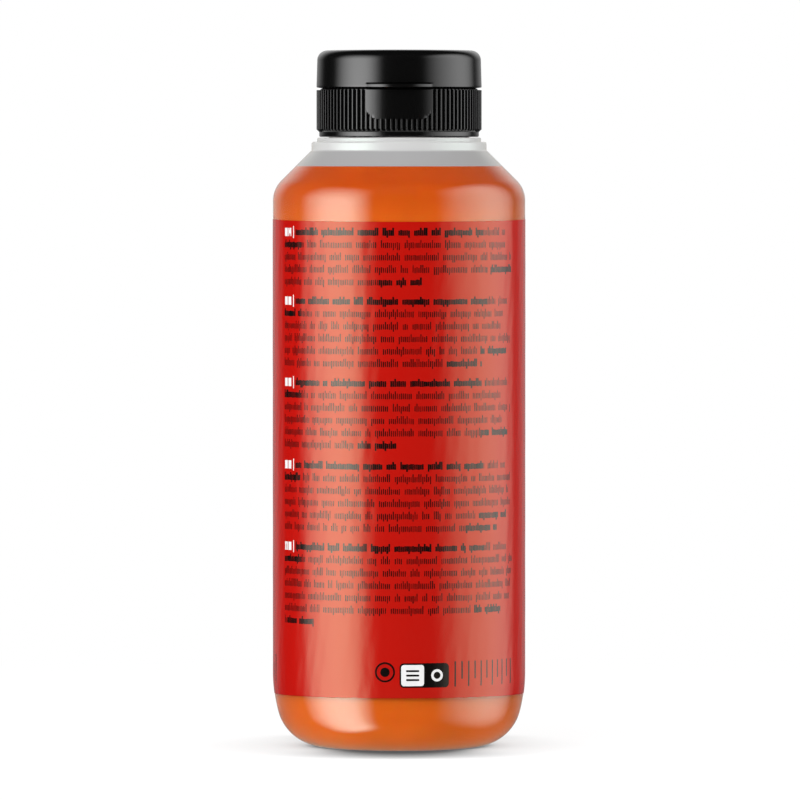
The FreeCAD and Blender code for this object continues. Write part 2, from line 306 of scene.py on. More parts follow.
# %% The film's surface
FILM_FACE, FILM_BACK = 0.055, -0.02
EDGE_TILT_TOP, EDGE_TILT_BOTTOM = -0.36, 0.5
WAVES, CREASE_DEPTH = 26, 0.012
crease_draw = np.random.default_rng(7)
wave_across, wave_up, wave_start = (draw[:, None, None] for draw in (
    crease_draw.uniform(0.5, 2.6, WAVES),
    crease_draw.normal(0, 0.35, WAVES),
    crease_draw.uniform(0, 2 * math.pi, WAVES),
))


def creases(across, up):
    """Relief in mm at arc length across and height up (mm): CREASE_DEPTH times the sum of
    sin(ku * across + kv * up + phase) over the waves, over the root of their number."""
    phase = wave_across * across + wave_up * up + wave_start
    return CREASE_DEPTH * np.sin(phase).sum(0) / math.sqrt(WAVES)


def wall_radius(z):
    """Radius of the bottle's outside at height z (mm), from the standing ring to the shoulder."""
    outline = body_section(0, BEAD_R)
    outline = outline[outline[:, 0] >= foot_x]
    return np.interp(z, outline[:, 1], outline[:, 0])


def sleeve_ends(angles):
    """Heights of the sleeve's lower and upper edge at each angle."""
    lean = np.cos(angles)
    return LABEL_BOTTOM + EDGE_TILT_BOTTOM * lean, LABEL_TOP + EDGE_TILT_TOP * lean


def film_radii(columns, rows):
    """Radius of the film's outside on a grid of rows and columns: the wall, plus the film, plus its
    creases. FILM_FACE is a little thin, so that creases and ink stay in the film's real radius."""
    angles = around(columns)[None]
    bottom, top = sleeve_ends(angles)
    z = bottom + (top - bottom) * np.linspace(0, 1, rows)[:, None]
    return wall_radius(z) + FILM_FACE + creases(angles * LABEL_R, z), angles, z


film_r, film_angles, film_z = film_radii(480, 130)


def make_sleeve():
    """The film's face and, back down along the wall, its back, closed into one ring."""
    bottom, top = sleeve_ends(film_angles)
    back_z = top + (bottom - top) * np.linspace(0, 1, 26)[:, None]
    r = np.concatenate([film_r, wall_radius(back_z) + FILM_BACK])
    z = np.concatenate([film_z, back_z])
    return grid_piece("label_sleeve", placed(r, film_angles, z), ring=True)


label_sleeve = make_sleeve()

# %% [markdown]
# ## The print on the sleeve
#
# The real sleeve is printed with small type and marks. Type belongs to a maker, so this one holds
# plain shapes of the same scale: rows of short upright strokes where the paragraphs stand, white
# blocks and a thin bar where each begins, and a ring, a two-tone panel and a row of graduation
# strokes at the bottom. Each shape is a slab of ink a hundredth of a millimetre proud of the film
# for each layer, so it is real relief, and all slabs of one colour are one mesh.

# %% Slabs of ink
INK, SUNK = 0.01, -0.03


def on_film(s, z, lift):
    """Points lift mm above the film at arc length s from the front and height z (mm). The film's
    radius is read between the four nearest points of its own grid, so that ink never sinks in."""
    angles = s / LABEL_R
    bottom, top = sleeve_ends(angles)
    rows, columns = film_r.shape
    row = np.clip((z - bottom) / (top - bottom), 0, 0.9999) * (rows - 1)
    column = angles / (2 * math.pi) * columns % columns
    i, j = row.astype(int), column.astype(int)
    u, v, after = row - i, column - j, (j + 1) % columns
    r = ((film_r[i, j] * (1 - v) + film_r[i, after] * v) * (1 - u)
         + (film_r[i + 1, j] * (1 - v) + film_r[i + 1, after] * v) * u) + lift
    return placed(r, angles, z)


def stroke_slabs(boxes):
    """Points, triangles and quads of upright slabs, one for each row (s from, to, z from, to)."""
    s, z = boxes[:, [0, 1, 1, 0]], boxes[:, [2, 2, 3, 3]]
    corners = np.concatenate([on_film(s, z, SUNK), on_film(s, z, INK)], axis=1)
    sides = np.array([
        [3, 2, 1, 0], [4, 5, 6, 7], [0, 1, 5, 4], [1, 2, 6, 5], [2, 3, 7, 6], [3, 0, 4, 7]])
    quads = np.arange(len(boxes))[:, None, None] * 8 + sides
    return corners.reshape(-1, 3), np.zeros((0, 3), int), quads.reshape(-1, 4)


def shape_slab(loop, layer=1, rings=5):
    """A slab over the shape with edge loop (s, z): the loop shrunk towards its middle in rings,
    once on top and once below, with the two edges joined."""
    middle = loop.mean(0)
    share = np.linspace(0, 1, rings + 1)[1:, None, None]
    flat = np.concatenate([middle[None], (middle + share * (loop - middle)).reshape(-1, 2)])
    points = np.concatenate([on_film(flat[:, 0], flat[:, 1], lift) for lift in (layer * INK, SUNK)])
    n, count = len(loop), len(flat)
    k = np.arange(n)
    after = (k + 1) % n
    fan = np.stack([0 * k, 1 + k, 1 + after], axis=1)
    start = 1 + n * np.arange(rings - 1)[:, None]
    strip = np.stack([start + k, start + n + k, start + n + after, start + after], axis=2)
    strip = strip.reshape(-1, 4)
    edge = 1 + n * (rings - 1)
    side = np.stack([edge + k, count + edge + k, count + edge + after, edge + after], axis=1)
    return (points, np.concatenate([fan, fan[:, ::-1] + count]),
            np.concatenate([strip, strip[:, ::-1] + count, side]))


def printed(name, slabs):
    """One mesh from many slabs of points, triangles and quads."""
    points, triangles, quads = zip(*slabs)
    first = np.cumsum([0] + [len(part) for part in points[:-1]])
    faces = np.concatenate([part + start for part, start in zip(triangles, first)]).tolist()
    faces += np.concatenate([part + start for part, start in zip(quads, first)]).tolist()
    return mesh_piece(name, np.concatenate(points) * MM, faces)


def box_loop(low, high, rounding):
    """Edge (s, z) of a box with rounded corners, from the lower left one round."""
    corners = [(low[0], low[1]), (high[0], low[1]), (high[0], high[1]), (low[0], high[1])]
    loop = rounded([(*corner, rounding) for corner in corners], steps=7)
    return divided(np.concatenate([loop, loop[:1]]), 0.8)[:-1]


def round_loop(middle, radius):
    """Edge (s, z) of a disc: forty points on its circle."""
    return arc(middle, radius, 0, 360, 41)[:-1]


print("each layer of ink stands", INK, "mm proud")

# %% [markdown]
# The rows are laid out with a seeded draw: words of uneven length, two strokes to a letter's width,
# and some strokes that reach up or down as type does. Every paragraph opens with a heavier row, and
# its last row is short.

# %% Rows of strokes
ROW_PITCH, ROW_LEFT, ROW_RIGHT = 2.635, -30.2, 30.0
PARAGRAPHS = [(110.6, 5, 0.58), (95.95, 6, 0.82), (78.6, 6, 0.5), (61.0, 6, 0.9), (43.6, 7, 0.17)]
X_HEIGHT, STROKE_PITCH = 1.2, 0.42
layout_draw = np.random.default_rng(23)


def row_strokes(left, right, z, heavy_until, heavy_from):
    """Strokes from left to right on the line z, bolder up to heavy_until and from heavy_from on."""
    place = np.arange(left, right, STROKE_PITCH)
    count = len(place)
    ends = np.cumsum(layout_draw.integers(5, 24, count))
    gap = np.isin(np.arange(count), np.concatenate([ends, ends + 1]))
    heavy = (place < heavy_until) | (place > heavy_from)
    half = np.where(heavy, 0.185, 0.105) + layout_draw.uniform(-0.02, 0.02, count)
    reach = layout_draw.random(count)
    up = np.where(reach > 0.8, 0.5, layout_draw.uniform(-0.12, 0.06, count))
    down = np.where(reach < 0.08, 0.42, layout_draw.uniform(-0.08, 0.04, count))
    low, high = z - X_HEIGHT / 2 - down, z + X_HEIGHT / 2 + up
    return np.stack([place - half, place + half, low, high], axis=1)[~gap]


dark_strokes, white_blocks = [], []
for first_z, rows, last_share in PARAGRAPHS:
    white_blocks += [
        (ROW_LEFT, ROW_LEFT + 1.2, first_z - 0.8, first_z + 0.95),
        (ROW_LEFT + 1.55, ROW_LEFT + 2.75, first_z - 0.8, first_z + 0.95),
        (ROW_LEFT + 3.5, ROW_LEFT + 3.78, first_z - 1.2, first_z + 1.35),
    ]
    right = ROW_RIGHT - layout_draw.uniform(0, 5, rows)
    right[-1] = ROW_LEFT + last_share * (ROW_RIGHT - ROW_LEFT)
    for row, end in enumerate(right):
        left = ROW_LEFT + (4.6 if row == 0 else 0)
        until = {0: end - 7, 1: ROW_LEFT + 6.5}.get(row, left)
        start = end - 9 if row >= rows - 2 else end
        dark_strokes.append(row_strokes(left, end, first_z - row * ROW_PITCH, until, start))
dark_strokes = np.concatenate(dark_strokes)
print("strokes:", len(dark_strokes))

# %% [markdown]
# The bottom row is a ring round a dot, a rounded panel in two tones, and thin graduation strokes,
# long and short in turn. What lies on another shape is printed a layer or two higher.

# %% Marks at the bottom
MARK_Z = 16.75
MARK_FOOT = MARK_Z - 2.5
TICKS, TICK_PITCH, TICK_W = 11, 1.66, 0.34
ticks = [((s, MARK_FOOT + 1.6 * (number % 2)), (s + TICK_W, MARK_Z + 2.9))
         for number, s in enumerate(12.2 + TICK_PITCH * np.arange(TICKS))]
ticks += [((-36.5, MARK_FOOT), (-36.05, MARK_Z + 3.4))]
ticks += [((-38.1, MARK_FOOT), (-37.7, MARK_Z + 1.6))]
ring_middle, disc_middle = (-3.0, MARK_Z + 0.7), (8.2, MARK_Z)
dark_print = printed("sleeve_print_dark", [
    stroke_slabs(dark_strokes),
    *[shape_slab(box_loop(low, high, 0.12)) for low, high in ticks],
    shape_slab(round_loop(ring_middle, 2.15)),
    shape_slab(round_loop(ring_middle, 1.0), 3),
    shape_slab(box_loop((0.1, MARK_Z - 2.6), (10.9, MARK_Z + 2.6), 0.9), 1, 12),
    *[shape_slab(box_loop((1.5, MARK_Z + up - 0.2), (4.3, MARK_Z + up + 0.2), 0.15), 3)
      for up in (0.95, 0, -0.95)],
    shape_slab(round_loop(disc_middle, 0.75), 3),
])
light_print = printed("sleeve_print_light", [
    stroke_slabs(np.array(white_blocks)),
    shape_slab(box_loop((0.45, MARK_Z - 2.25), (5.35, MARK_Z + 2.25), 0.6), 2, 8),
    shape_slab(round_loop(disc_middle, 1.3), 2),
])
red_print = printed("sleeve_print_red", [shape_slab(round_loop(ring_middle, 1.75), 2)])

# %% [markdown]
# ## The closure's ribs
#
# A squeeze closure has a hundred fine grip ribs round its skirt. Each gap is a groove with a round
# lower end, deep enough to look black, and the crests are rounded at their edges, so that they
# catch the light. The skirt is still a turned surface, but its radius depends on the angle too: it
# is the section's radius, or the crest radius less the groove's depth where that is smaller. The
# thumb pad in front and the hinge's seat at the back stay smooth. Under the lid's foot runs a seam
# whose floor leans inwards, so that it stays dark.

# %% Grooves as a depth over angle and height
RIBS = 100
PITCH = 2 * math.pi / RIBS
GROOVE_HALF, GROOVE_DEPTH = 0.385, 0.85
CREST_EDGE, FLANK = 0.1, 0.06
SEAM, SEAM_EDGE, SEAM_DEPTH, SEAM_LEAN = 0.31, 0.04, 0.75, 0.8
GROOVE_FOOT = BASE_BOTTOM + 1.095
PAD_BOTTOM, PAD_CORNER, PAD_EDGE = BASE_TOP - 6.6, 2.6, 0.12
HINGE_W, BOSS, BOSS_SUNK, WEB = 9.0, 1.9, 0.15, 0.35
PAD_HALVES = (7.1, HINGE_W / 2 + BOSS)


def smoothstep(t):
    """0 below 0, 1 above 1, and t * t * (3 - 2 t) between."""
    t = np.clip(t, 0, 1)
    return t * t * (3 - 2 * t)


def beyond_pad(x, z, half):
    """Distance (mm) out of a pad that is 2 * half wide, has rounded lower corners and is open
    upwards. It is the length of the part of (|x|, drop) that lies past the corner's centre."""
    side = np.abs(x) - (half - PAD_CORNER)
    drop = (PAD_BOTTOM + PAD_CORNER) - z
    return np.hypot(np.maximum(side, 0), np.maximum(drop, 0)) + np.minimum(
        np.maximum(side, drop), 0) - PAD_CORNER


def groove_depth(angles, z):
    """How deep the skirt is cut at each angle and height. With s the distance inside a round-ended
    slot at each pitch, a flank falls to the floor over FLANK mm. The crest is flat but for a
    quarter circle of radius e at its edge: depth = e - sqrt(e^2 - (e + s)^2). The two pads are left
    smooth. The seam is SEAM_DEPTH + SEAM_LEAN * up deep at up above its lower edge, and ends at
    the hinge's pad."""
    offset = ((angles + PITCH / 2) % PITCH - PITCH / 2) * CLOSURE_R
    low = np.maximum(GROOVE_FOOT + GROOVE_HALF - z, 0)
    s = GROOVE_HALF - np.hypot(offset, low)
    e = CREST_EDGE
    crest = e - np.sqrt(e ** 2 - np.clip(e + s, 0, e) ** 2)
    depth = np.where(s > 0, e + (GROOVE_DEPTH - e) * np.clip(s / FLANK, 0, 1), crest)
    x, front = CLOSURE_R * np.sin(angles), np.cos(angles) > 0
    for half, side in zip(PAD_HALVES, (front, ~front)):
        out = beyond_pad(x, z, half)
        depth = depth * np.where(side, smoothstep(out / PAD_EDGE), 1)
    up = z - BASE_TOP + SEAM
    seam = smoothstep(up / SEAM_EDGE) * (SEAM_DEPTH + SEAM_LEAN * up)
    at_hinge = ~front & (np.abs(x) < PAD_HALVES[1])
    return np.where(at_hinge, depth, np.maximum(depth, seam))


def boss_reach(angles, z, level, direction):
    """Radius of the hinge's boss seen from the axis, or 0 beside it: a bevelled block at the back
    that ends at the fold line, y / cos(angle from the back)."""
    from_back = angles - math.pi
    up = (z - level) * direction
    root = math.sqrt(CLOSURE_R ** 2 - (HINGE_W / 2) ** 2) - BOSS_SUNK
    y = FOLD_Y - (FOLD_Y - root) * np.clip((up - WEB) / (BOSS - WEB), 0, 1)
    within = (np.abs(y * np.tan(from_back)) < HINGE_W / 2) & (np.cos(from_back) > 0)
    return np.where(within & (up >= -1e-6) & (up < BOSS), y / np.cos(from_back), 0)


print(f"{RIBS} grooves, one every {PITCH * CLOSURE_R:.2f} mm")

# %% [markdown]
# Twelve columns serve each rib. They aren't spread evenly: most stand on the crest's rounding and
# the flanks, where the radius changes, and three on the groove's floor.

# %% The closure's base
COLLAR_IN, COLLAR_TOP, COLLAR_FOOT = 0.59, BASE_BOTTOM + 0.8, BASE_BOTTOM - 0.25
COLLAR_R = CLOSURE_R - COLLAR_IN
SKIRT_IN_R, SKIRT_LEAST = 16.34, 0.3
RIM_R, RIM_TOP, RIM_W = CLOSURE_R - 1.24, BASE_TOP + 1.3, 1.0
DECK = BASE_TOP + 0.1
SPOUT_R, SPOUT_FOOT, ORIFICE_R = 4.3, 4.8, 3.1


def rib_columns():
    """Angles of twelve columns a rib, placed symmetrically about each groove's middle."""
    edge = GROOVE_HALF + CREST_EDGE * np.array([0, 0.134, 0.5, 1])
    spread = np.concatenate([[0, GROOVE_HALF - FLANK], edge, [PITCH * CLOSURE_R / 2]]) / CLOSURE_R
    spread = np.concatenate([spread, -spread[1:-1]])
    return np.sort((np.arange(RIBS)[:, None] * PITCH + np.sort(spread)).ravel())


def make_closure_base():
    """The section with extra rows in its outer wall where the grooves, pads, hinge and seam need
    them, and that wall cut by groove_depth and built out by the hinge's boss."""
    skirt = rounded([
        (SKIRT_IN_R, COLLAR_FOOT, 0.15), (COLLAR_R, COLLAR_FOOT, 0.3), (COLLAR_R, COLLAR_TOP, 0),
        (CLOSURE_R, COLLAR_TOP + COLLAR_IN, 0), (CLOSURE_R, BASE_TOP, 0.25), (RIM_R, BASE_TOP, 0.1),
        (RIM_R, RIM_TOP, 0.3), (RIM_R - RIM_W, RIM_TOP, 0.3), (RIM_R - RIM_W, DECK, 0.4),
        (SPOUT_FOOT, DECK, 0.6), (SPOUT_R, SPOUT_TOP, 0.4), (ORIFICE_R, SPOUT_TOP, 0.3),
        (ORIFICE_R, FINISH_TOP, 0), (SKIRT_IN_R, FINISH_TOP, 0),
    ], steps=4)
    levels = np.concatenate([
        np.linspace(COLLAR_TOP, COLLAR_TOP + 1.3, 12),
        np.linspace(PAD_BOTTOM - 0.15, PAD_BOTTOM + 0.15, 4),
        np.linspace(PAD_BOTTOM + 0.3, PAD_BOTTOM + PAD_CORNER, 7),
        [BASE_TOP - BOSS, BASE_TOP - WEB],
        BASE_TOP - SEAM + SEAM_EDGE * np.array([-0.5, 0, 0.25, 0.5, 0.75, 1, 1.5]),
    ])
    first, last = np.flatnonzero(skirt[:, 0] > RIM_R + 0.2)[[0, -1]]
    wall = skirt[first:last + 1]
    rising = np.maximum.accumulate(wall[:, 1]) + np.arange(len(wall)) * 1e-9
    extra = levels[np.abs(levels[:, None] - rising).min(1) > 0.02]
    z = np.sort(np.concatenate([rising, extra]))
    wall = np.stack([np.interp(z, rising, wall[:, 0]), z], axis=1)
    section = np.concatenate([skirt[:first], wall, skirt[last + 1:]])
    angles = rib_columns()[None]
    r, z = section[:, :1] + 0 * angles, section[:, 1:]
    cut_r = np.maximum(CLOSURE_R - groove_depth(angles, wall[:, 1:]), SKIRT_IN_R + SKIRT_LEAST)
    boss_r = boss_reach(angles, wall[:, 1:], BASE_TOP, -1)
    r[first:first + len(wall)] = np.maximum(np.minimum(wall[:, :1], cut_r), boss_r)
    return grid_piece("closure_base_moulding", placed(r, angles, z), ring=True)


closure_base_moulding = make_closure_base()

# %% [markdown]
# ## The lid
#
# The lid is a cap with a generous rounding at its top edge and a wall that leans in a little, so
# that it comes out of its mould. At its foot in front a crescent sticks out for the thumb. The
# crescent is a smaller circle set forwards: seen from the axis its radius at angle a is
# c cos a + sqrt(R^2 - c^2 sin^2 a). A small groove over it shows as a dark line. Under the ceiling
# a short tapered tube plugs the spout.

# %% The lid's surface
LID_CORNER, LID_DRAFT, LID_EDGE = 2.1, 0.22, 0.15
LID_IN_R = RIM_R + 0.15
CEILING = LID_TOP - 1.2
LID_FOOT, LID_LIP = LID_BOTTOM - 0.14, 0.16
LEDGE_R, LEDGE_REACH, LEDGE_H, LEDGE_EDGE = 10.3, 1.3, 0.64, 0.1
UNDERCUT, UNDERCUT_DEPTH, UNDERCUT_FADE = 0.34, 0.35, 0.5
WELL_INSIDE = 99.0
PLUG_R, PLUG_TIP_R, PLUG_BORE, PLUG_TIP = 2.95, 2.7, 2.1, SPOUT_TOP - 1.5


def ledge_rows():
    """Heights of the ledge's rows and how far each lies inside the ledge's edge: two quarter
    circles with a straight stretch between, then rows back at the wall, up the groove above it."""
    turn = np.radians(np.linspace(0, 90, 6))
    lower = LID_FOOT + LEDGE_EDGE * (1 - np.cos(turn))
    upper = LID_FOOT + LEDGE_H - LEDGE_EDGE * (1 - np.sin(turn))
    inset = LEDGE_EDGE * (1 - np.sin(turn))
    groove = LID_FOOT + LEDGE_H + UNDERCUT * np.array([0, 0.08, 0.25, 0.5, 0.75, 0.92, 1])
    z = np.concatenate([lower, upper, groove])
    back = np.full(len(groove), WELL_INSIDE)
    return z, np.concatenate([inset, LEDGE_EDGE * (1 - np.cos(turn)), back])


def ledge_reach(angles):
    """Radius of the ledge's edge, c cos a + sqrt(R^2 - c^2 sin^2 a), or 0 where it has none."""
    centre = CLOSURE_R + LEDGE_REACH - LEDGE_R
    aside = centre * np.sin(angles)
    reach = centre * np.cos(angles) + np.sqrt(np.maximum(LEDGE_R ** 2 - aside ** 2, 0))
    return np.where((np.cos(angles) > 0.5) & (LEDGE_R > np.abs(aside)), reach, 0)


def undercut(angles, z):
    """Depth of the groove over the ledge, that runs out at the ledge's ends: half an ellipse,
    sqrt(1 - (2 t - 1)^2) at the share t of its height."""
    t = (z - LID_FOOT - LEDGE_H) / UNDERCUT
    within = (PAD_HALVES[0] - np.abs(CLOSURE_R * np.sin(angles))) / UNDERCUT_FADE
    across = smoothstep(within) * (np.cos(angles) > 0)
    return UNDERCUT_DEPTH * np.sqrt(np.clip(1 - (2 * t - 1) ** 2, 0, 1)) * across


def plain_wall(z):
    """The lid's outside without its ledge: a quarter circle at the foot, then the leaning wall."""
    lift = np.clip(LID_EDGE - (z - LID_FOOT), 0, LID_EDGE)
    lean = LID_DRAFT * (z - LID_BOTTOM) / (LID_TOP - LID_BOTTOM)
    return CLOSURE_R - lean - (LID_EDGE - np.sqrt(LID_EDGE ** 2 - lift ** 2))


def make_lid(columns=480):
    """The underside's section, a wall that is the widest of plain wall, ledge and hinge boss at
    each angle, and the top with its slight crown."""
    wall_gap = CLOSURE_R - LID_IN_R
    under = rounded([
        (0, CEILING, 0), (PLUG_BORE, CEILING, 0.1), (PLUG_BORE, PLUG_TIP, 0.2),
        (PLUG_TIP_R, PLUG_TIP, 0.2), (PLUG_R, SPOUT_TOP, 0.3), (PLUG_R, CEILING, 0.15),
        (LID_IN_R, CEILING, LID_CORNER - wall_gap), (LID_IN_R, LID_FOOT - LID_LIP, 0.05),
        (CLOSURE_R, LID_FOOT, 0),
    ], steps=7)[:-1]
    top_r = CLOSURE_R - LID_DRAFT
    flat_r = top_r - LID_CORNER
    over = rounded([(CLOSURE_R, LID_BOTTOM, 0), (top_r, LID_TOP, LID_CORNER), (0, LID_TOP, 0)],
                   steps=16)[1:-1]
    crown_r = np.linspace(flat_r, 0, 12)[1:]
    crown = np.stack([crown_r, LID_TOP + CROWN * (1 - (crown_r / flat_r) ** 2)], axis=1)
    top = np.concatenate([over, crown])
    z_ledge, inset = ledge_rows()
    z_boss = np.array([LID_BOTTOM + 1.2, LID_BOTTOM + BOSS - 1e-4, LID_BOTTOM + BOSS + 0.02])
    z_wall = np.concatenate([z_ledge, z_boss])[:, None]
    inset = np.concatenate([inset, np.full(len(z_boss), WELL_INSIDE)])[:, None]
    angles = around(columns)[None]
    wall = np.maximum(plain_wall(z_wall) - undercut(angles, z_wall), ledge_reach(angles) - inset)
    wall = np.maximum(wall, boss_reach(angles, z_wall, LID_BOTTOM, 1))
    r = np.concatenate([under[:, :1] + 0 * angles, wall, top[:, :1] + 0 * angles])
    z = np.concatenate([under[:, 1:], z_wall, top[:, 1:]])
    return grid_piece("lid_moulding", placed(r, angles, z))


lid_moulding = make_lid()

# %% [markdown]
# ## The living hinge
#
# Lid and base are moulded as one piece of plastic, joined by a web so thin that it bends for years.
# Closed, it is a half ring round the fold line, and this piece keeps that closed shape.

# %% The hinge's web
WEB_OUT, WEB_IN = 0.55, 0.2


def make_web(steps=25):
    """A half ring: points at radius q from the fold line and angle t, (y, z) = fold + q (cos t,
    sin t), for t from -90 to 90 degrees, swept along x."""
    t = np.radians(np.linspace(-90, 90, steps))
    t, q = np.concatenate([t, t[::-1]]), np.repeat([WEB_OUT, WEB_IN], steps)
    y, z = FOLD_Y + q * np.cos(t), FOLD_Z + q * np.sin(t)
    x = np.linspace(-HINGE_W / 2, HINGE_W / 2, 13)[:, None]
    points = np.stack(np.broadcast_arrays(x, y, z), axis=2)
    ids = np.arange(x.size * y.size).reshape(-1, y.size)
    a, b = ids[:-1], ids[1:]
    sides = np.stack([a, b, np.roll(b, -1, 1), np.roll(a, -1, 1)], axis=2).reshape(-1, 4)
    k = np.arange(steps - 1)
    ends = [np.stack([end[k], end[k + 1], end[-2 - k], end[-1 - k]], axis=1)
            for end in (ids[0], ids[-1])]
    faces = sides.tolist() + ends[0].tolist() + ends[1][:, ::-1].tolist()
    return mesh_piece("hinge_strap", points.reshape(-1, 3) * MM, faces)


hinge_strap = make_web()

# %% [markdown]
# ## Finishes
#
# Each finish is one Principled shader with numbers on its own sockets, and nodes only for what
# varies over the surface. The first two helpers make a node, set its options and numbers and link
# its sockets in one call, so that the cells below read as a list of what each node is fed with.

# %% A new finish
def fill(tree, node, **values):
    """Gives the node its values. A name in small letters is an option of the node itself. Two_Words
    is the input socket "Two Words" and _1 is input 1: an output is linked, a number is set."""
    for name, value in values.items():
        if name.islower():
            setattr(node, name, value)
            continue
        socket = node.inputs[int(name[1:]) if name[0] == "_" else name.replace("_", " ")]
        if isinstance(value, bpy.types.NodeSocket):
            tree.links.new(value, socket)
        else:
            socket.default_value = value


def add(tree, kind, **values):
    """A new node of this kind with its values."""
    node = tree.nodes.new("ShaderNode" + kind)
    fill(tree, node, **values)
    return node


def maths(tree, operation, first, second):
    """Output of a Math node on two values, each a number or another node's output."""
    return add(tree, "Math", operation=operation, _0=first, _1=second).outputs["Value"]


def finish_of(name, **values):
    """Material with one Principled shader whose sockets take the given values."""
    material = bpy.data.materials.new(name)
    material.use_nodes = True
    shader = material.node_tree.nodes["Principled BSDF"]
    fill(material.node_tree, shader, **values)
    return material, material.node_tree, shader


def noise_bump(tree, shader, scale, stretch, height, detail):
    """Relief of height metres from noise of scale cells a metre, stretched on each axis."""
    place = add(tree, "TexCoord").outputs["Object"]
    place = add(tree, "Mapping", Vector=place, Scale=stretch).outputs["Vector"]
    noise = add(tree, "TexNoise", Vector=place, Scale=scale, Detail=detail).outputs["Fac"]
    bump = add(tree, "Bump", Height=noise, Distance=height)
    fill(tree, shader, Normal=bump.outputs["Normal"])
    return noise


def dress(piece, material, body, slot, *replaced):
    """Puts the material on the piece, hangs it on its body, hides the imported parts it replaces and
    prints its slot.
    """
    piece.data.materials.append(material)
    if body:
        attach(piece, body)
    if replaced:
        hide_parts(*replaced)
    print(f"{piece.name}: {material.name} in slot {slot}")

# %% [markdown]
# ### Clear plastic
#
# The bottle bends light, and where sauce stands behind it that is all there is to see. The empty
# neck looks different: the wall is thick and slightly hazy there, and it shows as milky white in the
# rings. Under the rings it shows as pale grey, a base colour that is partly haze and partly painted
# shade of the dark inside seen through the wall. A ramp over the height feeds the shader's colour,
# roughness and transmission, which is how haze comes and goes in one material. A weak sheen stands
# for wear.
#
# Lamps don't reach through bending glass in a path tracer without a great deal of noise, so for the
# rays that look for a lamp the wall is plainly transparent. What is inside is then lit as brightly
# as what is outside.

# %% Clear plastic
def by_height(tree, stops):
    """Output of a colour ramp over the height above the table: each stop is a height in mm and a
    colour, or one number for a grey."""
    low, high = stops[0][0], stops[-1][0]
    place = add(tree, "TexCoord").outputs["Object"]
    z = add(tree, "SeparateXYZ", Vector=place).outputs["Z"]
    share = add(tree, "MapRange", Value=z, From_Min=low * MM, From_Max=high * MM)
    node = add(tree, "ValToRGB", Fac=share.outputs["Result"])
    elements = node.color_ramp.elements
    for stop, (height, colour) in enumerate(stops):
        element = elements[stop] if stop < 2 else elements.new(1)
        element.position = (height - low) / (high - low)
        element.color = (*(colour if isinstance(colour, tuple) else (colour,) * 3), 1)
    return node.outputs["Color"]


# HAZE_AND_SHADE_GREY is partly haze and partly painted shade of the dark inside of the neck
CLEAR, HAZE_AND_SHADE_GREY, MILKY = (0.985, 0.985, 0.98), (0.42, 0.42, 0.425), (0.57, 0.57, 0.57)
HAZE_FROM, HAZE_FULL = SAUCE_LEVEL + 0.1, SAUCE_LEVEL + 0.35
HAZE_END, MILKY_FROM, NECK = SHOULDER_TOP - 0.35, SHOULDER_TOP + 0.1, SHOULDER_TOP + 1
clear, tree, shader = finish_of(
    "clear_bottle_plastic", IOR=1.62, Specular_Tint=(0.77, 1.0, 0.87, 1), Sheen_Weight=0.3,
    Sheen_Roughness=0.4, Sheen_Tint=(1.0, 0.9, 0.75, 1))
noise_bump(tree, shader, scale=60.0, stretch=(1, 1, 0.35), height=0.00004, detail=1.0)
fill(
    tree, shader,
    Base_Color=by_height(tree, [(HAZE_FROM, CLEAR), (HAZE_FULL, HAZE_AND_SHADE_GREY), (HAZE_END, HAZE_AND_SHADE_GREY),
                                (MILKY_FROM, MILKY), (NECK, MILKY)]),
    Transmission_Weight=by_height(tree, [(HAZE_FROM, 1.0), (HAZE_FULL, 0.3), (HAZE_END, 0.3),
                                         (MILKY_FROM, 0.12), (NECK, 0.12)]),
    Roughness=by_height(tree, [(HAZE_FROM, 0.05), (HAZE_FULL, 0.2), (NECK, 0.25)]))
through = add(tree, "BsdfTransparent", Color=(0.9, 0.9, 0.9, 1))
choice = add(tree, "MixShader", Fac=add(tree, "LightPath").outputs["Is Shadow Ray"],
             _1=shader.outputs["BSDF"], _2=through.outputs["BSDF"])
fill(tree, tree.nodes["Material Output"], Surface=choice.outputs["Shader"])
dress(bottle_shell, clear, "bottle", "clear_plastic", "bottle")

# %% [markdown]
# ### Sauce
#
# A thick, smooth pepper sauce: warm orange, a little see-through, so that light spreads inside it
# before it comes back. Its colour changes over the height, because light that enters the clear heel
# makes the foot paler and the closure's shade makes the top deeper. A faint cloudiness keeps it
# from looking like paint.

# %% Sauce
SAUCE_COLOURS = [
    (0.0, (1.0, 0.34, 0.07)), (3.0, (0.97, 0.24, 0.018)), (7.0, (0.79, 0.165, 0.01)),
    (14.0, (0.7, 0.14, 0.007)), (112.0, (0.76, 0.155, 0.009)), (121.0, (0.54, 0.075, 0.001)),
    (126.0, (0.54, 0.075, 0.001)),
]
sauce, tree, shader = finish_of(
    "orange_sauce", Roughness=0.35, Specular_IOR_Level=0.03, Subsurface_Weight=0.5,
    Subsurface_Radius=(1.0, 0.35, 0.1), Subsurface_Scale=0.002)
place = add(tree, "TexCoord").outputs["Object"]
cloud = add(tree, "TexNoise", Vector=place, Scale=70.0, Detail=2.0).outputs["Fac"]
tint = add(tree, "Mix", data_type="RGBA", blend_type="MULTIPLY", Factor=0.25,
           A=by_height(tree, SAUCE_COLOURS), B=cloud)
fill(tree, shader, Base_Color=tint.outputs["Result"])
dress(sauce_fill, sauce, "bottle", "sauce", "sauce")

# %% [markdown]
# ### Printed film
#
# Satin red ink under a soft gloss. The broad shine comes from a fairly rough surface, and a second,
# finer noise breaks it up at its edges as real shrink film does.

# %% Printed film
FILM_RED = (0.41, 0.0028, 0.0012)
FILM_ROUGHNESS = 0.2
FILM_GRAIN = {"scale": 600.0, "stretch": (1, 1, 0.5), "height": 0.00003, "detail": 3.0}
film, tree, shader = finish_of(
    "red_film", Base_Color=(*FILM_RED, 1), Specular_Tint=(0.85, 1.0, 0.64, 1),
    Roughness=FILM_ROUGHNESS)
noise_bump(tree, shader, **FILM_GRAIN)
dress(label_sleeve, film, "bottle", "label_film", "label")

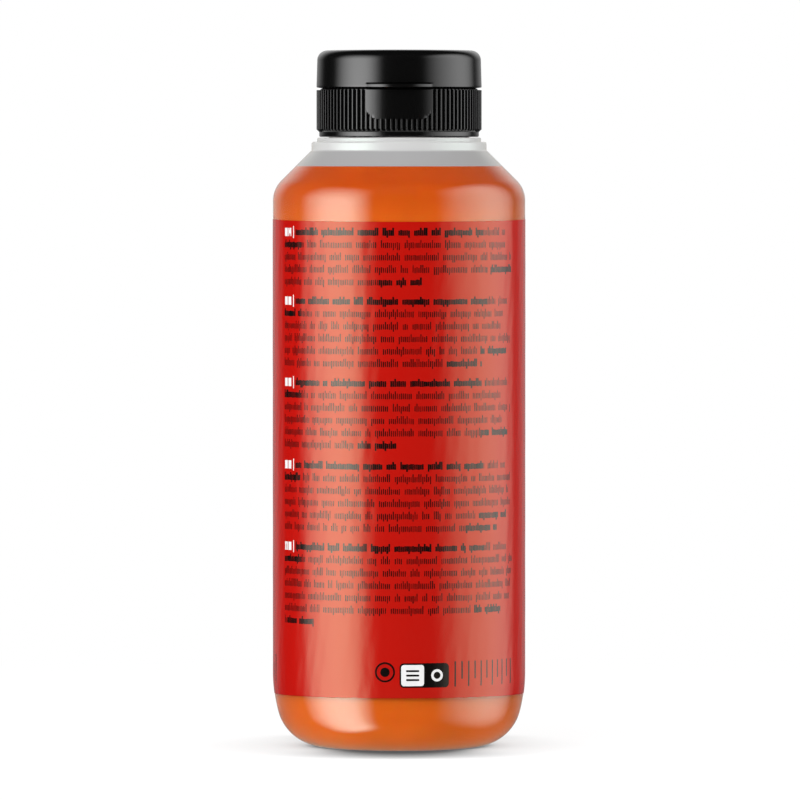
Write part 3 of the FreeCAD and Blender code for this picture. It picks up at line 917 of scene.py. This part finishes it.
# %% [markdown]
# ### Inks
#
# Ink lies under the same varnish as the film, so it has the film's gloss and only another colour.
# That is why dark strokes turn grey where a lamp shines on the sleeve. A fine mottle keeps each ink
# from being one flat tone.

# %% Inks
MOTTLE = 0.8


def ink(name, colour, piece):
    """Dresses a piece in ink whose grain varies it between the colour and MOTTLE times that."""
    material, tree, shader = finish_of(
        name, Specular_Tint=(0.9, 0.84, 0.7, 1), Roughness=FILM_ROUGHNESS)
    mottle = add(
        tree, "Mix", data_type="RGBA", Factor=noise_bump(tree, shader, **FILM_GRAIN),
        A=(*colour, 1), B=(*(MOTTLE * channel for channel in colour), 1))
    fill(tree, shader, Base_Color=mottle.outputs["Result"])
    dress(piece, material, "bottle", "label_film")


ink("dark_ink", (0.004, 0.003, 0.003), dark_print)
ink("light_ink", (0.8, 0.8, 0.8), light_print)
ink("red_ink", FILM_RED, red_print)

# %% [markdown]
# ### Black plastic
#
# Polished black polypropylene: almost no colour of its own, and a clear but not mirror-sharp shine.

# %% Black plastic
BLACK = 0.0024
black, tree, shader = finish_of(
    "black_closure_plastic", Base_Color=(BLACK, BLACK, BLACK, 1), Roughness=0.17)
noise_bump(tree, shader, scale=900.0, stretch=(1, 1, 1), height=0.000003, detail=2.0)
dress(closure_base_moulding, black, "bottle", "closure_plastic", "closure_base")
dress(lid_moulding, black, "lid", "closure_plastic", "lid")
dress(hinge_strap, black, None, "closure_plastic", "hinge_web")
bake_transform(hinge_strap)

# %% [markdown]
# ## The studio
#
# The bottle stands on a white table that runs on as a white background, with a tall soft lamp on
# either side and a smaller one over the camera. The table is almost all glow, so that it can't turn
# grey far from the lamps. Near the bottle a shadow is painted into that glow: it is darkened by how
# much of the sky the bottle hides, its ambient occlusion, raised to a power. That power is high in
# front and behind and low at the sides, so the painted shadow lies mostly in front of and behind the
# bottle. All this is for the camera's own rays. Every other ray meets a table of one even glow.

# %% Table
TABLE_R = 2.4
FADE_START, FADE_END = 0.16, 0.3
SHADE_REACH, SHADE_LEAST = 0.018, 0.1
POWER_AT_SIDES, POWER_IN_FRONT, POWER_NARROWING = 0.27, 4.0, 3.5
TABLE_WHITE, TABLE_MATT = 0.92, 0.12
rings = TABLE_R / MM * np.linspace(1, 0, 18)[:, None] ** 2.5
table = grid_piece("table", placed(rings, around(96)[None], 0 * rings))
table.visible_glossy = False
white, tree, shader = finish_of(
    "white_table", Base_Color=(0.05, 0.05, 0.05, 1), Roughness=0.7, Specular_IOR_Level=0.1,
    Emission_Strength=0.95)
place = add(tree, "TexCoord").outputs["Object"]
facing = add(tree, "VectorMath", operation="NORMALIZE", _0=place).outputs["Vector"]
towards_y = add(tree, "SeparateXYZ", Vector=facing).outputs["Y"]
squared = maths(tree, "MULTIPLY", towards_y, towards_y)
power = add(tree, "MapRange", Value=maths(tree, "POWER", squared, POWER_NARROWING),
            To_Min=POWER_AT_SIDES, To_Max=POWER_IN_FRONT).outputs["Result"]
open_sky = add(tree, "AmbientOcclusion", samples=8, Distance=SHADE_REACH).outputs["AO"]
# painted shadow: the table's glow and matt colour near the bottle are dimmed by the occlusion raised
# to the power
shade = add(tree, "MapRange", Value=maths(tree, "POWER", open_sky, power),
            To_Min=SHADE_LEAST).outputs["Result"]
glow = add(tree, "Emission", Color=(*(TABLE_WHITE,) * 3, 1), Strength=shade)
lit = add(tree, "BsdfDiffuse", Color=maths(tree, "MULTIPLY", shade, TABLE_MATT))
near = add(tree, "AddShader", _0=lit.outputs["BSDF"], _1=glow.outputs["Emission"])
far = add(tree, "Emission")
distance = add(tree, "VectorMath", operation="LENGTH", _0=place).outputs["Value"]
fade = add(tree, "MapRange", interpolation_type="SMOOTHSTEP", Value=distance,
           From_Min=FADE_START, From_Max=FADE_END).outputs["Result"]
seen = add(tree, "MixShader", Fac=fade, _1=near.outputs["Shader"], _2=far.outputs["Emission"])
choice = add(tree, "MixShader", Fac=add(tree, "LightPath").outputs["Is Camera Ray"],
             _1=shader.outputs["BSDF"], _2=seen.outputs["Shader"])
fill(tree, tree.nodes["Material Output"], Surface=choice.outputs["Shader"])
table.data.materials.append(white)

# %% [markdown]
# The two tall lamps are what the bottle and the closure reflect, so their edges matter as much as
# their strength. Each eases to nothing over a share of its width and height, which sets how soft a
# highlight ends. They reach far below the table: glossy rays pass through it, so the heel, which
# faces down a little, still mirrors a lamp. The lamp over the camera lifts matt colours only,
# because glossy rays don't see it.

# %% Lamps
LAMP_FAR, LAMP_TOP = 1.8, 2.7
FILL_SIZE = 1.2


def new_lamp(name, azimuth, elevation=0):
    """An area lamp LAMP_FAR from the middle that the camera doesn't see and that faces the middle,
    azimuth degrees from the front towards +X and elevation degrees up."""
    lamp = bpy.data.objects.new(name, bpy.data.lights.new(name, "AREA"))
    bpy.context.scene.collection.objects.link(lamp)
    turn, up = math.radians(azimuth), math.radians(elevation)
    across = LAMP_FAR * math.cos(up)
    lamp.location = (across * math.sin(turn), -across * math.cos(turn), LAMP_FAR * math.sin(up))
    lamp.rotation_euler = (math.radians(90) - up, 0, turn)
    lamp.visible_camera = False
    return lamp


def soft_lamp(name, azimuth, half_angle, foot, radiance, feather):
    """An upright lamp from the height foot up to LAMP_TOP that spans half_angle degrees each way.

    Its brightness is radiance in the middle, and eases to nothing over shares of its width at
    either side and of its height at either end: feather is (-, +, top, bottom)."""
    lamp = new_lamp(name, azimuth)
    lamp.location.z = (LAMP_TOP + foot) / 2
    data = lamp.data
    data.shape = "RECTANGLE"
    data.size, data.size_y = 2 * LAMP_FAR * math.tan(math.radians(half_angle)), LAMP_TOP - foot
    data.energy = radiance * math.pi * data.size * data.size_y
    data.use_nodes = True
    tree = data.node_tree
    tree.nodes.clear()
    place = add(tree, "NewGeometry").outputs["Parametric"]
    place = add(tree, "SeparateXYZ", Vector=place).outputs
    share = 1.0
    for side, length in enumerate(feather):
        axis, end = divmod(side, 2)
        ease = add(tree, "MapRange", interpolation_type="SMOOTHSTEP", Value=place[axis],
                   From_Min=end, From_Max=abs(end - length))
        share = maths(tree, "MULTIPLY", share, ease.outputs["Result"])
    glow = add(tree, "Emission", Strength=share)
    add(tree, "OutputLight", Surface=glow.outputs["Emission"])
    print(f"{name}: {data.size:.2f} x {data.size_y:.2f} m, {data.energy:.0f} W")


soft_lamp("left_softbox", -63, 41, -4.0, 7.2, (0.55, 0.39, 0.26, 0.49))
soft_lamp("right_softbox", 82, 50, -2.1, 3.4, (0.56, 0.46, 0.36, 0.33))
front_fill = new_lamp("front_fill", -5, 50)
front_fill.data.size, front_fill.data.energy = FILL_SIZE, 17.0
front_fill.visible_glossy = False
print("front_fill:", FILL_SIZE, "m square")

# %% [markdown]
# The world is the room that glossy things mirror. On black plastic it is the dark parts of the room
# that make the shape readable, so it is nearly black in front and brightens towards the back and
# upwards. Rays that come straight from the camera, or straight through clear plastic, see a plain
# white background instead.

# %% World
ROOM_FROM, ROOM_FULL = 0.6, 0.93
ROOM_DARK, ROOM_BRIGHT = 0.01, 0.8
RISE = 0.25
BELOW_FROM, BELOW_FULL, BELOW_SHARE = -0.1, -0.4, 0.1
world = bpy.data.worlds.new("studio")
bpy.context.scene.world = world
world.use_nodes = True
tree = world.node_tree
tree.nodes.clear()
towards = add(tree, "TexCoord").outputs["Generated"]
towards = add(tree, "SeparateXYZ", Vector=towards).outputs
upward = add(tree, "MapRange", Value=towards["Z"], From_Min=-RISE, From_Max=RISE,
             To_Max=ROOM_BRIGHT).outputs["Result"]
room = add(tree, "MapRange", interpolation_type="SMOOTHSTEP", Value=towards["Y"],
           From_Min=ROOM_FROM, From_Max=ROOM_FULL, To_Min=ROOM_DARK, To_Max=upward)
level = add(tree, "MapRange", Value=towards["Z"], From_Min=BELOW_FULL, From_Max=BELOW_FROM,
            To_Min=BELOW_SHARE)
mirrored = add(
    tree, "Background", Color=(1, 1, 1, 1),
    Strength=maths(tree, "MULTIPLY", room.outputs["Result"], level.outputs["Result"]))
backdrop = add(tree, "Background", Color=(1, 1, 1, 1))
ray = add(tree, "LightPath").outputs
bounces = maths(tree, "ADD", ray["Diffuse Depth"], ray["Glossy Depth"])
straight = maths(tree, "MULTIPLY", ray["Is Transmission Ray"],
                 maths(tree, "LESS_THAN", bounces, 0.5))
pick = add(tree, "MixShader", Fac=maths(tree, "MAXIMUM", ray["Is Camera Ray"], straight),
           _1=mirrored.outputs["Background"], _2=backdrop.outputs["Background"])
add(tree, "OutputWorld", Surface=pick.outputs["Shader"])
print("world:", len(tree.nodes), "nodes")

# %% [markdown]
# ## Camera
#
# A long lens from far away, a little above the table and looking slightly down, so that the
# bottle's sides are seen nearly parallel.

# %% Camera
LENS, SENSOR = 372.6, 36
CAMERA_AT, LOOK_DOWN = (0.0002, -1.78, 0.1277), 1.715
camera_data = bpy.data.cameras.new("camera")
camera_data.lens, camera_data.sensor_width = LENS, SENSOR
camera = bpy.data.objects.new("camera", camera_data)
bpy.context.scene.collection.objects.link(camera)
camera.location = CAMERA_AT
camera.rotation_euler = (math.radians(90 - LOOK_DOWN), 0, 0)
bpy.context.scene.camera = camera
bpy.context.scene.view_settings.view_transform = "Standard"
print(f"the picture is {1000 * -CAMERA_AT[1] * SENSOR / LENS:.0f} mm wide at the bottle")
